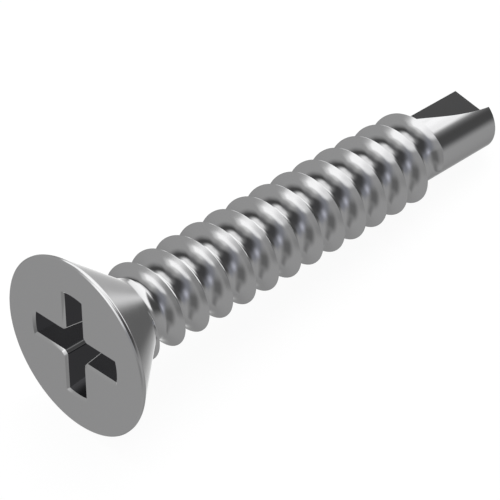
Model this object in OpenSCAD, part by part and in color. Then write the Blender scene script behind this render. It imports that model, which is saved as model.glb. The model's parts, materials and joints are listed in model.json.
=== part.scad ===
// Self drilling screw with a countersunk head, a cross recess and a milled drill point.
// One cold-formed piece of steel, lying on the floor as it comes to rest:
// on the rear edge of its head and on one of the last full turns of its thread.
// Millimetres. X runs from the head to the tip, Z is up, the floor is Z = 0.

/* [Head] */
// diameter over the head's rim
head_d = 8.24; // [7.6:0.02:8.6]
// height of the straight rim, with both small edge chamfers
rim_h = 0.16; // [0.12:0.01:0.3]
// size of the small chamfer on each edge of the rim
rim_edge = 0.04; // [0.02:0.01:0.05]
// included angle of the countersink
sink_angle = 80; // [78:1:90]
// radius of the hollow between countersink and shank
neck_r = 1.6; // [1.2:0.1:2]

/* [Cross recess] */
// span over two opposite wings at the face
recess_span = 5.2; // [4.6:0.1:5.4]
// width of a wing at the face
wing_w = 1.26; // [1.1:0.02:1.4]
// distance between two opposite blunted inner corners at the face
corner_span = 2.02; // [1.9:0.02:2.2]
// depth at the middle of the recess
recess_h = 2.6; // [2.2:0.1:2.8]
// lean of a wing's outer end from the screw's axis
wing_end_angle = 13.25; // [8:0.25:16]
// lean of the wing's sides from the screw's axis
wing_draft = 5; // [2:1:8]
// slope of the recess bottom
recess_bottom_angle = 28; // [15:1:32]
// turn of the recess about the axis, from straight up
recess_turn = -5.8; // [-45:0.1:45]

/* [Thread] */
// diameter over the thread
thread_d = 4.2; // [4:0.02:4.4]
// diameter of the core, and of the drill point
core_d = 3.03; // [2.9:0.01:3.1]
// distance from one turn to the next
pitch = 1.4; // [1.3:0.05:1.6]
// angle between the two flanks
flank_angle = 60; // [50:1:65]
// width of the flat on the crest
crest_w = 0.1; // [0.06:0.01:0.14]
// height over the core at which a straight flank turns into the hollow between two turns
root_h = 0.15; // [0.12:0.01:0.18]
// distance from the head's face to the crest, straight up, at the first turn clear of the head
crest_start = 3.97; // [3.6:0.01:4.3]
// number of turns at full height after that first one
full_turns = 12.15; // [9:0.05:12.5]
// part of a turn over which the thread sinks into the core at its end
runout_turns = 0.21; // [0.15:0.01:0.5]

/* [Drill point] */
// distance from the head's face to the shoulder where the point's cone begins
shoulder_at = 25.26; // [24:0.02:26]
// included angle of the point
point_angle = 118; // [90:1:135]
// radius of the milling disc that cuts a flute
flute_disc_r = 11; // [8:0.5:16]
// distance from the axis to the floor of a flute at the deepest place
web_half = 0.04; // [0.03:0.01:0.2]
// distance from the shoulder towards the tip where a flute is deepest
flute_deepest = 1.33; // [0.8:0.01:2]
// turn of the first flute's cutting face about the axis, from straight up
flute_turn = -48.1; // [-180:0.1:180]

/* [Hidden] */

head_r = head_d / 2;
core_r = core_d / 2;
thread_r = thread_d / 2;
round_steps = 96;

// the countersink's slanted line runs down to the core and is hollowed out by the neck radius
half_sink = sink_angle / 2;
sink_end = rim_h + (head_r - core_r) / tan(half_sink);
neck_tangent = neck_r * tan(half_sink / 2);
neck_mid_x = sink_end + neck_tangent;
neck_mid_r = core_r + neck_r;
neck_steps = 8;

point_h = core_r / tan(point_angle / 2);
tip_at = shoulder_at + point_h;

// thread: sections stand along the helix, every half turn has one, their base is sunk in the core
section_step = 9;
lead_in_turns = 0.9;
first_section = -floor(lead_in_turns * 360 / section_step);
last_full_section = floor(full_turns * 360 / section_step);
last_section = last_full_section + floor(runout_turns * 360 / section_step);

// half widths of a section: at the crest, where the flank ends, at the core's surface, at the base
top_half = crest_w / 2;
flank_half = top_half + (thread_r - core_r - root_h) * tan(flank_angle / 2);
core_half = 0.43 * pitch;
base_half = 0.47 * pitch;
base_r = core_r - root_h * (base_half - core_half) / (core_half - flank_half);
steep_half = flank_half + (core_r + root_h - base_r) * tan(flank_angle / 2);

// in the neck, which is hollow itself, the flanks run straight down into it
hollow_from = -0.5;
hollow_full = 0;

// share of the thread's height at its very start, which is hidden in the neck, and at its end
start_share = 0.6;
end_share = 0.02;
rise_sections = 11;

// resting place: the rim's rear edge and the last full crest that points down touch the floor
rest_crest = crest_start + pitch / 2 + pitch * floor(full_turns - 0.5) + crest_w / 2;
rest_edge = rim_h;
rest_tilt = atan((head_r - thread_r) / (rest_crest - rest_edge));
axis_z = head_r * cos(rest_tilt) + rest_edge * sin(rest_tilt);

// the middle of the length, from the head face's lowest edge to the tip, stands at X = 0
face_edge_x = -(head_r - rim_edge) * sin(rest_tilt);
tip_x = tip_at * cos(rest_tilt);
middle_x = (face_edge_x + tip_x) / 2;

// outline of head, neck, core and point, radius over distance from the face
module body_outline() {
  neck_arc = [
    for (i = [0 : neck_steps])
      let (a = half_sink * (1 - i / neck_steps))
        [neck_mid_r - neck_r * cos(a), neck_mid_x - neck_r * sin(a)]
  ];
  polygon(concat(
    [[0, 0], [head_r - rim_edge, 0], [head_r, rim_edge], [head_r, rim_h - rim_edge / 2],
     [head_r - rim_edge / 2, rim_h - rim_edge / 2 + rim_edge]],
    neck_arc,
    [[core_r, shoulder_at], [0, tip_at]]
  ));
}

// one slot through the axis, narrower with depth
module slot(width) {
  reach = head_d;
  intersection() {
    translate([0, width / 2, 0])
      rotate([wing_draft, 0, 0])
        translate([-reach, -2 * reach, -reach])
          cube([2 * reach, 2 * reach, 2 * reach]);
    translate([0, -width / 2, 0])
      rotate([-wing_draft, 0, 0])
        translate([-reach, 0, -reach])
          cube([2 * reach, 2 * reach, 2 * reach]);
  }
}

// cross recess: four wings around a core with blunted corners, over a shallow cone
module recess() {
  above = 0.5;
  outer = recess_span / 2;
  end_lean = tan(wing_end_angle);
  rise = tan(recess_bottom_angle);
  wing_foot_r = (outer - recess_h * end_lean) / (1 - rise * end_lean);
  wing_foot_h = recess_h - wing_foot_r * rise;
  intersection() {
    rotate_extrude($fn = round_steps)
      polygon([
        [0, -above], [outer + above * end_lean, -above],
        [wing_foot_r, wing_foot_h], [0, recess_h]
      ]);
    union() {
      slot(wing_w);
      rotate([0, 0, 90]) slot(wing_w);
      intersection() {
        rotate([0, 0, 45]) slot(corner_span);
        rotate([0, 0, 135]) slot(corner_span);
      }
    }
  }
}

// helical ridge: narrow flat crest, straight flanks, and a hollow that runs out on the core
function height_share(i) =
  i < first_section + rise_sections
    ? start_share + (1 - start_share) * (i - first_section) / rise_sections
  : i <= last_full_section ? 1
  : 1 + (end_share - 1) * (i - last_full_section) / (last_section - last_full_section);
function ridge_section(i) =
  let (
    turn = i * section_step,
    along = crest_start + pitch * turn / 360,
    share = height_share(i),
    top = base_r + (thread_r - base_r) * share,
    knee = base_r + (core_r + root_h - base_r) * share,
    hollow = min(max((turn / 360 - hollow_from) / (hollow_full - hollow_from), 0), 1),
    foot = steep_half + (base_half - steep_half) * hollow
  )
  [
    for (corner = [
      [base_r, -foot], [knee, -flank_half], [top, -top_half],
      [top, top_half], [knee, flank_half], [base_r, foot]
    ])
      [corner[0] * cos(turn), corner[0] * sin(turn), along + corner[1]]
  ];

module ridge() {
  corners = len(ridge_section(first_section));
  count = last_section - first_section;
  points = [for (i = [first_section : last_section]) each ridge_section(i)];
  sides = [
    for (i = [0 : count - 1])
      for (j = [0 : corners - 1])
        let (
          a = corners * i + j,
          b = corners * i + (j + 1) % corners,
          c = a + corners,
          d = b + corners
        )
          each [[a, b, d], [a, d, c]]
  ];
  first_end = [for (j = [corners - 1 : -1 : 0]) j];
  last_end = [for (j = [0 : corners - 1]) corners * count + j];
  polyhedron(points = points, faces = concat([first_end], sides, [last_end]), convexity = 10);
}

// flute: the milling disc's flat side leaves the cutting face, its rim leaves the floor
module flute() {
  rotate([0, 0, flute_turn])
    translate([web_half + flute_disc_r, 0, shoulder_at + flute_deepest])
      rotate([-90, 0, 0])
        cylinder(r = flute_disc_r, h = thread_d, $fn = round_steps);
}

module screw() {
  color([0.62, 0.62, 0.63])
    translate([-middle_x, 0, axis_z])
      rotate([0, rest_tilt, 0])
        rotate([0, -90, 180])
          union() {
            difference() {
              rotate_extrude($fn = round_steps) body_outline();
              rotate([0, 0, recess_turn]) recess();
              flute();
              rotate([0, 0, 180]) flute();
            }
            ridge();
          }
}

screw();
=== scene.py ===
# Looks of the self drilling screw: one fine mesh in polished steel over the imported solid.
# Sizes are millimetres in the screw's own frame, whose axis runs from the head's face to the tip.
# Angles about the axis count from straight up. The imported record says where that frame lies.
import json
import math

import bmesh
import bpy
from mathutils import Matrix, Vector


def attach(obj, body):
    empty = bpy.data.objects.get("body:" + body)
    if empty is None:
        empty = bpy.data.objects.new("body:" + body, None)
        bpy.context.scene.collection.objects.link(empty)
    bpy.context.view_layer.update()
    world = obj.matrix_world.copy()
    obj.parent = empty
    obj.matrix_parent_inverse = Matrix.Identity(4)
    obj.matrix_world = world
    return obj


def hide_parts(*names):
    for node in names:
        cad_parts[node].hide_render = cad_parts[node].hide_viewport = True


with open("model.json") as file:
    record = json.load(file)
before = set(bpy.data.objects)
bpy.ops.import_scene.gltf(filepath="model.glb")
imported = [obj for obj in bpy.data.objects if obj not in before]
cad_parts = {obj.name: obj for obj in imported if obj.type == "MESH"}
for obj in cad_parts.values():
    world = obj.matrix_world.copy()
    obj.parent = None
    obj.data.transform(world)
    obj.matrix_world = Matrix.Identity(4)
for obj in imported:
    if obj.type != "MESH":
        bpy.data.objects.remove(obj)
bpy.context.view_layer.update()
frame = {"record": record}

MM = 0.001

# head: the rim's chamfer at the face leans from the face, the one at the countersink from the axis
HEAD_R = 4.12
RIM_H = 0.16
RIM_FACE_CUT = 0.05
RIM_FACE_LEAN = math.radians(40)
RIM_CONE_FROM = 0.12
RIM_CONE_LEAN = math.radians(25)
HALF_SINK = math.radians(40)
NECK_ROUND = 1.6

# cross recess
RECESS_SPAN = 5.2
WING_W = 1.26
CORNER_CUT = 0.18
CORNER_SWEEP = math.radians(30)
MOUTH_BEVEL = 0.1
RECESS_H = 2.6
WING_END_LEAN = math.radians(13.25)
WING_DRAFT = math.radians(5)
RECESS_BOTTOM_SLOPE = math.radians(28)
RECESS_TURN = math.radians(-5.8)

# thread: both flanks of a turn run out in a hollow, the one on the head's side in the wider one
THREAD_R = 2.1
CORE_R = 1.515
PITCH = 1.4
CREST_W = 0.02
HEAD_LEAN = math.radians(31.3)
TIP_LEAN = math.radians(27.1)
HEAD_HOLLOW = 0.97
TIP_HOLLOW = 0.6
GROOVE_R = 1.449
GROOVE_ROUND = 0.05
ROOT_ROUND = 0.04

# the crest straight up at CREST_START counts as turn 0: the thread rises before it and ends after it
CREST_START = 3.97
LEAD_IN_TURNS = 0.88
LEAD_IN_SHARE = 0.75
LEAD_IN_RISE = 0.27
FULL_TURNS = 12.15
RUNOUT_TURNS = 0.21

# under the thread the core is a little thinner than in the neck and at the point
SHANK_R = 1.42
SHANK_FROM = 3.9
SHANK_TO = 20.7
SHANK_BLEND = 0.5

# drill point
SHOULDER_AT = 25.26
HALF_POINT = math.radians(59)
FLUTE_DISC_R = 11
FLUTE_HALF_SWEEP = math.radians(50)
WEB_HALF = 0.04
FLUTE_DEEPEST = 1.33
FLUTE_TURN = math.radians(-48.1)
FLUTE_CLEARANCE = 0.02
FLUTES_FROM = 20.5

# mesh fineness, and the angle from which an edge stays sharp
TURN_STEPS = 144
SIDE_ROWS = 30
ARC_STEPS = 6
FLUTE_STEPS = 96
SHARP_FROM = math.radians(28)

# plain rings of the mesh on face, countersink and point, and the stretch whose rows follow the helix
FACE_RING_R = 3.2
RIM_RING_STEP = 0.03
SINK_RING_AT = 1.0
HELIX_FROM = 2.0
HELIX_TO = 22.0
POINT_RINGS_AT = (23.0, 24.0)
ON_AXIS_R = 1e-6
PLACE_DIGITS = 5

# how far the cutting tools reach past what they cut
CROSS_SPARE = 0.2
CONE_SPARE = 2
BLANK_SPARE = 1

# limits of the recess's painted shade: in from the head's outside, past the bottom, and degrees off a
# corner
HEAD_SKIN = 0.3
BOTTOM_SLACK = 0.1
INNER_CORNER_HALF = 7.5

# floor, in metres, and the part of it that the camera sees as plain white
FLOOR_HALF = 0.6
FLOOR_WHITE_SHARE = 0.94

# the sockets of a Mix node that hold colours
MIX_COLOUR_A = 6
MIX_COLOUR_B = 7
MIX_COLOUR_RESULT = 2


def screw_frame():
    """The matrix from the screw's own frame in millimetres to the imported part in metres."""
    mounts = {m["name"]: m for m in frame["record"]["mounts"]}
    recess = mounts["drive_recess"]
    along = -Vector(recess["axis"]).normalized()
    side = Vector((0, -1, 0))
    up = side.cross(along)
    turn = Matrix((up, side, along)).transposed().to_4x4()
    return Matrix.Translation(recess["pos_m"]) @ turn @ Matrix.Scale(MM, 4)


SCREW_FRAME = screw_frame()

# the countersink's slanted line runs on to the core, and the neck hollow is tangent to both
SINK_END = RIM_H + (HEAD_R - CORE_R) / math.tan(HALF_SINK)
NECK_MID = SINK_END + NECK_ROUND * math.tan(HALF_SINK / 2)
NECK_START = NECK_MID - NECK_ROUND * math.sin(HALF_SINK)
TIP_AT = SHOULDER_AT + CORE_R / math.tan(HALF_POINT)


def soft_max(a, b, width):
    """The larger of two radii, with a hollow of that width where they meet."""
    near = max(width - abs(a - b), 0) / width
    return max(a, b) + near * near * width / 4


def eased(x):
    """0 below 0, 1 above 1 and a smooth rise between them."""
    x = min(max(x, 0), 1)
    return x * x * (3 - 2 * x)


def body_radius(s):
    """Radius of countersink, neck and core at distance s from the face."""
    if s < NECK_START:
        return HEAD_R - (s - RIM_H) * math.tan(HALF_SINK)
    if s < NECK_MID:
        return CORE_R + NECK_ROUND - math.sqrt(NECK_ROUND**2 - (NECK_MID - s) ** 2)
    sunk = eased((s - SHANK_FROM) / SHANK_BLEND) * eased((SHANK_TO - s) / SHANK_BLEND)
    return CORE_R - (CORE_R - SHANK_R) * sunk


def side_radius(turn, off, lean, hollow):
    """Radius of one side of the thread at a distance off from the middle of its crest."""
    if turn < -LEAD_IN_TURNS or turn > FULL_TURNS + RUNOUT_TURNS:
        return 0
    run = off - CREST_W / 2
    bottom = (THREAD_R - GROOVE_R) * math.tan(lean) + hollow * math.tan(math.pi / 4 - lean / 2)
    to_bottom = max(bottom - run, 0)
    if to_bottom > hollow * math.cos(lean):
        full = min(THREAD_R, THREAD_R - run / math.tan(lean))
    else:
        full = GROOVE_R + hollow - math.sqrt(hollow**2 - to_bottom**2)
    rise = LEAD_IN_SHARE + (1 - LEAD_IN_SHARE) * (turn + LEAD_IN_TURNS) / LEAD_IN_RISE
    share = min(1, rise, (FULL_TURNS + RUNOUT_TURNS - turn) / RUNOUT_TURNS)
    base_r = SHANK_R - ROOT_ROUND
    return base_r + (full - base_r) * share


def thread_radius(angle, s):
    """Radius of the thread at an angle in radians and distance s from the face."""
    part_turn = angle / math.tau
    turns = (s - CREST_START) / PITCH
    before = math.floor(turns - part_turn) + part_turn
    after = before + 1
    tip_side = side_radius(before, PITCH * (turns - before), TIP_LEAN, TIP_HOLLOW)
    head_side = side_radius(after, PITCH * (after - turns), HEAD_LEAN, HEAD_HOLLOW)
    return soft_max(tip_side, head_side, GROOVE_ROUND)


def shaft_radius(angle, s):
    """Radius of the screw's outside, thread and body taken together."""
    return soft_max(body_radius(s), thread_radius(angle, s), ROOT_ROUND)


class Surface:
    """Vertices on rings about the axis, each made once, and the faces between them."""

    def __init__(self):
        self.points = []
        self.faces = []
        self.known = {}

    def vertex(self, step, r, s):
        """Number of the vertex at a step round the axis, a radius and a distance from the face."""
        step = step % TURN_STEPS
        if r < ON_AXIS_R:
            step = 0
        key = (step, round(r, PLACE_DIGITS), round(s, PLACE_DIGITS))
        if key not in self.known:
            angle = math.tau * step / TURN_STEPS
            self.known[key] = len(self.points)
            self.points.append((r * math.cos(angle), r * math.sin(angle), s))
        return self.known[key]

    def face(self, corners):
        """A face between these vertices, or none where fewer than three of them differ."""
        kept = list(dict.fromkeys(corners))
        if len(kept) > 2:
            self.faces.append(kept)

    def band(self, first, second):
        """Faces between two plain rings, each given as (radius, distance from the face)."""
        for i in range(TURN_STEPS):
            self.face([
                self.vertex(i, *first), self.vertex(i, *second),
                self.vertex(i + 1, *second), self.vertex(i + 1, *first),
            ])

    def bands(self, outline):
        """The surface that an outline leaves when it is turned about the axis."""
        for first, second in zip(outline, outline[1:]):
            self.band(first, second)


def rim_outline():
    """Points (radius, distance) from the middle of the face over both rim chamfers to the countersink."""
    face_edge_r = HEAD_R - RIM_FACE_CUT / math.tan(RIM_FACE_LEAN)
    sink = math.tan(HALF_SINK)
    cut = math.tan(RIM_CONE_LEAN)
    meet = (RIM_H * sink - RIM_CONE_FROM * cut) / (sink - cut)
    below = meet + RIM_RING_STEP
    return [
        (0, 0), (FACE_RING_R, 0), (face_edge_r, 0),
        (HEAD_R, RIM_FACE_CUT), (HEAD_R, RIM_CONE_FROM),
        (body_radius(meet), meet), (body_radius(below), below),
    ]


def turned_body():
    """Head, neck, threaded shank and point as one closed surface."""
    shell = Surface()
    shell.bands(rim_outline() + [(body_radius(s), s) for s in (SINK_RING_AT, HELIX_FROM)])

    # rows of the shank follow the helix from crest edge to crest edge, and are held back at both ends
    turn_rows = SIDE_ROWS + 1

    def shaft_vertex(step, row):
        angle = math.tau * (step % TURN_STEPS) / TURN_STEPS
        off_crest = CREST_W / 2 + (PITCH - CREST_W) * (row % turn_rows) / SIDE_ROWS
        s = CREST_START + PITCH * (row // turn_rows + step / TURN_STEPS) + off_crest
        s = min(max(s, HELIX_FROM), HELIX_TO)
        return shell.vertex(step, shaft_radius(angle, s), s)

    # a row climbs by one pitch on its way round, so the rows start two turns early
    first_turn = math.floor((HELIX_FROM - CREST_START) / PITCH) - 2
    last_turn = math.ceil((HELIX_TO - CREST_START) / PITCH)
    for row in range(first_turn * turn_rows, last_turn * turn_rows):
        for i in range(TURN_STEPS):
            shell.face([
                shaft_vertex(i, row), shaft_vertex(i, row + 1),
                shaft_vertex(i + 1, row + 1), shaft_vertex(i + 1, row),
            ])

    shell.bands([(CORE_R, s) for s in (HELIX_TO, *POINT_RINGS_AT, SHOULDER_AT)] + [(0, TIP_AT)])
    return make_object("screw_body", shell.points, shell.faces)


def make_object(name, points, faces):
    """A mesh object in the scene whose faces all look outwards."""
    mesh = bpy.data.meshes.new(name)
    mesh.from_pydata(points, [], faces)
    work = bmesh.new()
    work.from_mesh(mesh)
    bmesh.ops.recalc_face_normals(work, faces=work.faces)
    work.to_mesh(mesh)
    work.free()
    thing = bpy.data.objects.new(name, mesh)
    bpy.context.scene.collection.objects.link(thing)
    return thing


def carve(target, tool, operation):
    """Changes target by a boolean with tool, and removes tool."""
    step = target.modifiers.new("carve", "BOOLEAN")
    step.operation = operation
    step.solver = "EXACT"
    step.object = tool
    bpy.context.view_layer.update()
    shaped = bpy.data.meshes.new_from_object(
        target.evaluated_get(bpy.context.evaluated_depsgraph_get()))
    target.modifiers.clear()
    target.data = shaped
    bpy.data.objects.remove(tool)


def turned(x, y, angle):
    """A place in the face's plane after a turn about the axis."""
    return (
        x * math.cos(angle) - y * math.sin(angle),
        x * math.sin(angle) + y * math.cos(angle),
    )


def joined(first, count):
    """Faces between two rings of that many points, which start at first and follow each other."""
    faces = []
    for i in range(count):
        j = (i + 1) % count
        faces.append([first + i, first + j, first + count + j, first + count + i])
    return faces


def recess_section(depth, inset):
    """Outline of the cross at one depth: four wings with round ends and blunted inner corners."""
    below_bevel = max(depth - MOUTH_BEVEL, 0)
    half = WING_W / 2 - inset - below_bevel * math.tan(WING_DRAFT)
    reach = RECESS_SPAN / 2 - inset - below_bevel * math.tan(WING_END_LEAN)
    end_turn = math.asin(half / reach)
    # each inner corner is a shallow arc over a cut with equal legs
    corner_r = CORNER_CUT / math.sqrt(2) / math.sin(CORNER_SWEEP / 2)
    corner_mid = half + CORNER_CUT / 2 + corner_r * math.cos(CORNER_SWEEP / 2) / math.sqrt(2)
    quarter = []
    for k in range(ARC_STEPS + 1):
        a = end_turn * (2 * k / ARC_STEPS - 1)
        quarter.append((reach * math.cos(a), reach * math.sin(a)))
    for k in range(ARC_STEPS + 1):
        a = math.pi / 4 + CORNER_SWEEP * (k / ARC_STEPS - 0.5)
        quarter.append((corner_mid - corner_r * math.sin(a), corner_mid - corner_r * math.cos(a)))
    outline = []
    for wing in range(4):
        for x, y in quarter:
            outline.append((*turned(x, y, RECESS_TURN + wing * math.pi / 2), depth))
    return outline


def recess_tool():
    """The driver recess: a cross that narrows with depth, over a shallow cone."""
    # the bevel runs on above the face
    sections = [
        recess_section(-MOUTH_BEVEL, -MOUTH_BEVEL),
        recess_section(MOUTH_BEVEL, MOUTH_BEVEL),
        recess_section(RECESS_H + CROSS_SPARE, MOUTH_BEVEL),
    ]
    count = len(sections[0])
    ends = [list(range(count)), list(range(2 * count, 3 * count))]
    tool = make_object("cross", sum(sections, []), ends + joined(0, count) + joined(count, count))
    carve(tool, recess_bottom(), "INTERSECT")
    return tool


def recess_bottom():
    """Two cones on one wide ring: the lower tip is the recess bottom, the upper one is above the face."""
    wide = RECESS_SPAN
    foot = RECESS_H - wide * math.tan(RECESS_BOTTOM_SLOPE)
    points = []
    for i in range(TURN_STEPS):
        angle = math.tau * i / TURN_STEPS
        points.append((wide * math.cos(angle), wide * math.sin(angle), foot))
    points += [(0, 0, RECESS_H), (0, 0, foot - CONE_SPARE)]
    faces = []
    for i in range(TURN_STEPS):
        j = (i + 1) % TURN_STEPS
        faces.append([i, j, TURN_STEPS])
        faces.append([j, i, TURN_STEPS + 1])
    return make_object("recess_bottom", points, faces)


def flute_tool(turn):
    """What the milling disc takes away: a flat cutting face and a floor with the disc's radius."""
    outline = []
    for k in range(FLUTE_STEPS + 1):
        a = FLUTE_HALF_SWEEP * (2 * k / FLUTE_STEPS - 1)
        outline.append((
            WEB_HALF + FLUTE_DISC_R * (1 - math.cos(a)),
            SHOULDER_AT + FLUTE_DEEPEST + FLUTE_DISC_R * math.sin(a),
        ))
    points = []
    for thick in (0, 2 * THREAD_R):
        for x, s in outline:
            points.append((*turned(x, thick, turn), s))
    count = len(outline)
    ends = [list(range(count)), list(range(count, 2 * count))]
    tool = make_object("flute", points, ends + joined(0, count))
    carve(tool, point_blank(), "INTERSECT")
    return tool


def point_blank():
    """The plain cylinder that the flutes are milled in: they end under the thread's last turn."""
    blank_r = CORE_R + FLUTE_CLEARANCE
    blank_end = TIP_AT + BLANK_SPARE
    blank = Surface()
    blank.bands([(0, FLUTES_FROM), (blank_r, FLUTES_FROM), (blank_r, blank_end), (0, blank_end)])
    return make_object("point_blank", blank.points, blank.faces)


def build_screw():
    """The turned body with its recess and flutes cut, in its steel and the recess's painted shade, at its
    place in the part.
    """
    body = turned_body()
    carve(body, recess_tool(), "DIFFERENCE")
    for turn in (FLUTE_TURN, FLUTE_TURN + math.pi):
        carve(body, flute_tool(turn), "DIFFERENCE")
    body.data.materials.clear()
    body.data.materials.append(polished_steel())
    body.data.materials.append(painted_shade_recess_steel())
    # faces on the recess walls take the far darker steel, which is painted shade
    for face in body.data.polygons:
        face.material_index = 1 if in_painted_recess_shade(*face.center) else 0
    body.data.transform(SCREW_FRAME)
    for face in body.data.polygons:
        face.use_smooth = True
    body.data.set_sharp_from_angle(angle=SHARP_FROM)
    return body


def in_painted_recess_shade(x, y, s):
    """True for a place on the recess's sides or bottom that gets the painted shade, apart from the bevel
    and the inner corners.
    """
    if s < MOUTH_BEVEL or s > RECESS_H + BOTTOM_SLACK:
        return False
    if math.hypot(x, y) > body_radius(s) - HEAD_SKIN:
        return False
    from_wing = math.degrees(math.atan2(y, x) - RECESS_TURN) % 90
    return abs(from_wing - 45) > INNER_CORNER_HALF


def polished_steel():
    """Bright cold-formed steel, in the colour that the flat face shows in the photo."""
    return steel("polished_steel", colour=(0.27, 0.27, 0.272), roughness=(0.09, 0.15))


def painted_shade_recess_steel():
    """The same steel in the recess in a far darker colour: painted shade, for walls that face only each
    other.
    """
    return steel("painted_shade_recess_steel", colour=(0.03, 0.03, 0.032), roughness=(0.2, 0.3))


def steel(name, colour, roughness):
    """Metal whose roughness wanders a little between two values."""
    edge_tint = 0.57
    grains_per_metre = 900
    metal = bpy.data.materials.new(name)
    metal.use_nodes = True
    nodes = metal.node_tree.nodes
    links = metal.node_tree.links
    shader = nodes["Principled BSDF"]
    shader.inputs["Base Color"].default_value = (*colour, 1)
    shader.inputs["Metallic"].default_value = 1
    shader.inputs["Specular Tint"].default_value = (*grey(edge_tint), 1)
    place = nodes.new("ShaderNodeTexCoord")
    grain = nodes.new("ShaderNodeTexNoise")
    grain.inputs["Scale"].default_value = grains_per_metre
    grain.inputs["Detail"].default_value = 4
    spread = nodes.new("ShaderNodeMapRange")
    spread.inputs["To Min"].default_value = roughness[0]
    spread.inputs["To Max"].default_value = roughness[1]
    links.new(place.outputs["Object"], grain.inputs["Vector"])
    links.new(grain.outputs["Fac"], spread.inputs["Value"])
    links.new(spread.outputs["Result"], shader.inputs["Roughness"])
    return metal


def grey(level):
    """A colour without a hue."""
    return (level, level, level)


def floor_material():
    """Pale floor: the camera sees white with a faint shadow."""
    pale = bpy.data.materials.new("pale_floor")
    pale.use_nodes = True
    nodes = pale.node_tree.nodes
    links = pale.node_tree.links
    matt = nodes["Principled BSDF"]
    matt.inputs["Base Color"].default_value = (0.8, 0.8, 0.8, 1)
    matt.inputs["Roughness"].default_value = 1
    matt.inputs["Specular IOR Level"].default_value = 0
    white = nodes.new("ShaderNodeEmission")
    white.inputs["Strength"].default_value = 1
    path = nodes.new("ShaderNodeLightPath")
    share = nodes.new("ShaderNodeMath")
    share.operation = "MULTIPLY"
    share.inputs[1].default_value = FLOOR_WHITE_SHARE
    mix = nodes.new("ShaderNodeMixShader")
    links.new(path.outputs["Is Camera Ray"], share.inputs[0])
    links.new(share.outputs[0], mix.inputs["Fac"])
    links.new(matt.outputs[0], mix.inputs[1])
    links.new(white.outputs[0], mix.inputs[2])
    links.new(mix.outputs[0], nodes["Material Output"].inputs["Surface"])
    return pale


def add_floor():
    """The floor under the screw. The steel shows the white background in its place."""
    corners = [(-1, -1), (1, -1), (1, 1), (-1, 1)]
    points = [(x * FLOOR_HALF, y * FLOOR_HALF, 0) for x, y in corners]
    floor = make_object("floor", points, [[0, 1, 2, 3]])
    floor.data.materials.append(floor_material())
    floor.visible_glossy = False


def calculate(tree, operation, *values):
    """Output of a math node whose values are numbers or outputs of other nodes."""
    node = tree.nodes.new("ShaderNodeMath")
    node.operation = operation
    for place, value in enumerate(values):
        if isinstance(value, (int, float)):
            node.inputs[place].default_value = value
        else:
            tree.links.new(value, node.inputs[place])
    return node.outputs[0]


def within(tree, off, half, edge):
    """1 where off is less than half a panel's width or height and 0 beyond it, with a soft edge."""
    node = tree.nodes.new("ShaderNodeMapRange")
    node.interpolation_type = "SMOOTHSTEP"
    node.inputs["From Min"].default_value = half + edge / 2
    node.inputs["From Max"].default_value = half - edge / 2
    tree.links.new(calculate(tree, "ABSOLUTE", off), node.inputs["Value"])
    return node.outputs["Result"]


class Studio:
    """What the steel reflects: the background with soft-edged panels one over the other."""

    def __init__(self, tree, colour):
        self.tree = tree
        place = tree.nodes.new("ShaderNodeTexCoord")
        split = tree.nodes.new("ShaderNodeSeparateXYZ")
        tree.links.new(place.outputs["Generated"], split.inputs[0])
        around = calculate(tree, "ARCTAN2", split.outputs["Y"], split.outputs["X"])
        above = calculate(tree, "ARCSINE", split.outputs["Z"])
        self.azimuth = calculate(tree, "DEGREES", around)
        self.elevation = calculate(tree, "DEGREES", above)
        shade = tree.nodes.new("ShaderNodeRGB")
        shade.outputs[0].default_value = (*colour, 1)
        self.shade = shade.outputs[0]

    def panel(self, middle, size, edge, colour, roll=0):
        """A panel over the ones before it, with its middle at (azimuth, elevation), all in degrees.

        Its size is (width, height), its edge fades over that angle, and it is rolled about its middle.
        """
        tree = self.tree
        azimuth, elevation = middle
        width, height = size
        across = calculate(tree, "SUBTRACT", self.azimuth, azimuth)
        across = calculate(tree, "WRAP", across, 180, -180)
        up = calculate(tree, "SUBTRACT", self.elevation, elevation)
        c = math.cos(math.radians(roll))
        s = math.sin(math.radians(roll))
        along = calculate(tree, "MULTIPLY_ADD", up, s, calculate(tree, "MULTIPLY", across, c))
        over = calculate(tree, "MULTIPLY_ADD", across, -s, calculate(tree, "MULTIPLY", up, c))
        in_width = within(tree, along, width / 2, edge)
        in_height = within(tree, over, height / 2, edge)
        mix = tree.nodes.new("ShaderNodeMix")
        mix.data_type = "RGBA"
        tree.links.new(calculate(tree, "MULTIPLY", in_width, in_height), mix.inputs["Factor"])
        tree.links.new(self.shade, mix.inputs[MIX_COLOUR_A])
        mix.inputs[MIX_COLOUR_B].default_value = (*colour, 1)
        self.shade = mix.outputs[MIX_COLOUR_RESULT]


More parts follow.
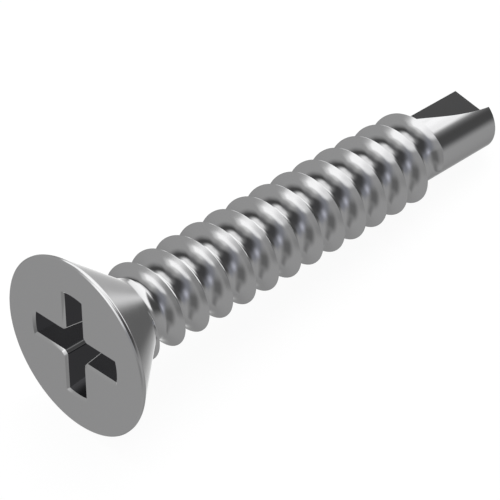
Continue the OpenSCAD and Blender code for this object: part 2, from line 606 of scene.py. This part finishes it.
def set_world():
    """White background, in which steel reflects windows, lamps and dark walls as well."""
    world = bpy.data.worlds.new("studio")
    world.use_nodes = True
    bpy.context.scene.world = world
    tree = world.node_tree
    nodes = tree.nodes
    links = tree.links
    studio = Studio(tree, grey(1))
    # overhead: dim behind, a light ceiling in front
    studio.panel(middle=(157, 81), size=(204, 26), edge=22, colour=(0.37, 0.37, 0.38))
    studio.panel(middle=(22, 64), size=(168, 36), edge=28, colour=grey(2.59))
    # dark walls at the head's side, in front and beyond the tip
    studio.panel(middle=(-87, 42), size=(118, 54), edge=32, colour=(0.16, 0.16, 0.165), roll=-5)
    studio.panel(middle=(-40, 15), size=(86, 35), edge=24, colour=grey(0.2), roll=-22)
    studio.panel(middle=(90, 52), size=(79, 37), edge=30, colour=grey(0.18), roll=42)
    # the bright window beyond the tip, with its upper pane and the light it throws below
    studio.panel(middle=(13, 38), size=(61, 19), edge=14, colour=grey(3.44), roll=6)
    studio.panel(middle=(24, 6), size=(46, 55), edge=7, colour=grey(3.56), roll=-24)
    studio.panel(middle=(37, -32), size=(32, 31), edge=11, colour=grey(1.52), roll=-6)
    # the softer window behind the head
    studio.panel(middle=(171, 37), size=(46, 26), edge=17, colour=grey(2.11))
    studio.panel(middle=(179, 25), size=(43, 20), edge=8, colour=grey(3.4), roll=-23)
    # cool light low at the head's side, and dark furniture under it
    studio.panel(middle=(-112, 15), size=(107, 25), edge=34, colour=(0.62, 0.64, 0.73), roll=-13)
    studio.panel(middle=(-111, 12), size=(19, 20), edge=24, colour=(1.68, 1.72, 1.97), roll=14)
    studio.panel(middle=(-123, -16), size=(40, 46), edge=28, colour=grey(0.39), roll=32)
    studio.panel(middle=(-93, -53), size=(56, 27), edge=29, colour=grey(0.57), roll=-53)
    studio.panel(middle=(-177, -8), size=(21, 45), edge=19, colour=grey(0.09), roll=26)
    studio.panel(middle=(12, -26), size=(13, 20), edge=8, colour=grey(0.44))
    around = nodes["Background"]
    links.new(studio.shade, around.inputs["Color"])
    white = nodes.new("ShaderNodeBackground")
    white.inputs["Color"].default_value = (1, 1, 1, 1)
    path = nodes.new("ShaderNodeLightPath")
    mix = nodes.new("ShaderNodeMixShader")
    links.new(path.outputs["Is Camera Ray"], mix.inputs["Fac"])
    links.new(around.outputs[0], mix.inputs[1])
    links.new(white.outputs[0], mix.inputs[2])
    links.new(mix.outputs[0], nodes["World Output"].inputs["Surface"])


def add_softbox(name, direction, distance, width, height, power):
    """An area lamp that faces the middle of the floor. The steel doesn't show it."""
    data = bpy.data.lights.new(name, "AREA")
    data.shape = "RECTANGLE"
    data.size = width
    data.size_y = height
    data.energy = power
    lamp = bpy.data.objects.new(name, data)
    away = Vector(direction).normalized()
    lamp.location = away * distance
    lamp.rotation_euler = away.to_track_quat("Z", "Y").to_euler()
    lamp.visible_glossy = False
    bpy.context.scene.collection.objects.link(lamp)


def add_camera():
    """The photograph's viewpoint: from above the head, at its left."""
    from_face = Vector((-38.8819, -48.9349, 63.1566)) * MM
    azimuth = math.radians(-135.09)
    elevation = math.radians(42.91)
    data = bpy.data.cameras.new("camera")
    data.sensor_fit = "HORIZONTAL"
    data.sensor_width = 36
    data.lens = 155.58
    data.clip_start = 0.001
    data.clip_end = 10
    camera = bpy.data.objects.new("camera", data)
    camera.location = SCREW_FRAME.translation + from_face
    back = Vector((
        math.cos(elevation) * math.cos(azimuth),
        math.cos(elevation) * math.sin(azimuth),
        math.sin(elevation),
    ))
    camera.rotation_euler = back.to_track_quat("Z", "Y").to_euler()
    bpy.context.scene.collection.objects.link(camera)
    bpy.context.scene.camera = camera


screw = build_screw()
screw.name = "screw_body"
# the photo's steel shows its surroundings and not itself
screw.visible_glossy = False
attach(screw, "root")
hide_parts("screw")

add_camera()
add_floor()
set_world()
add_softbox("key", direction=(0.2, 0.3, 1), distance=0.3, width=0.25, height=0.25, power=0.6)
bpy.context.scene.view_settings.view_transform = "Standard"
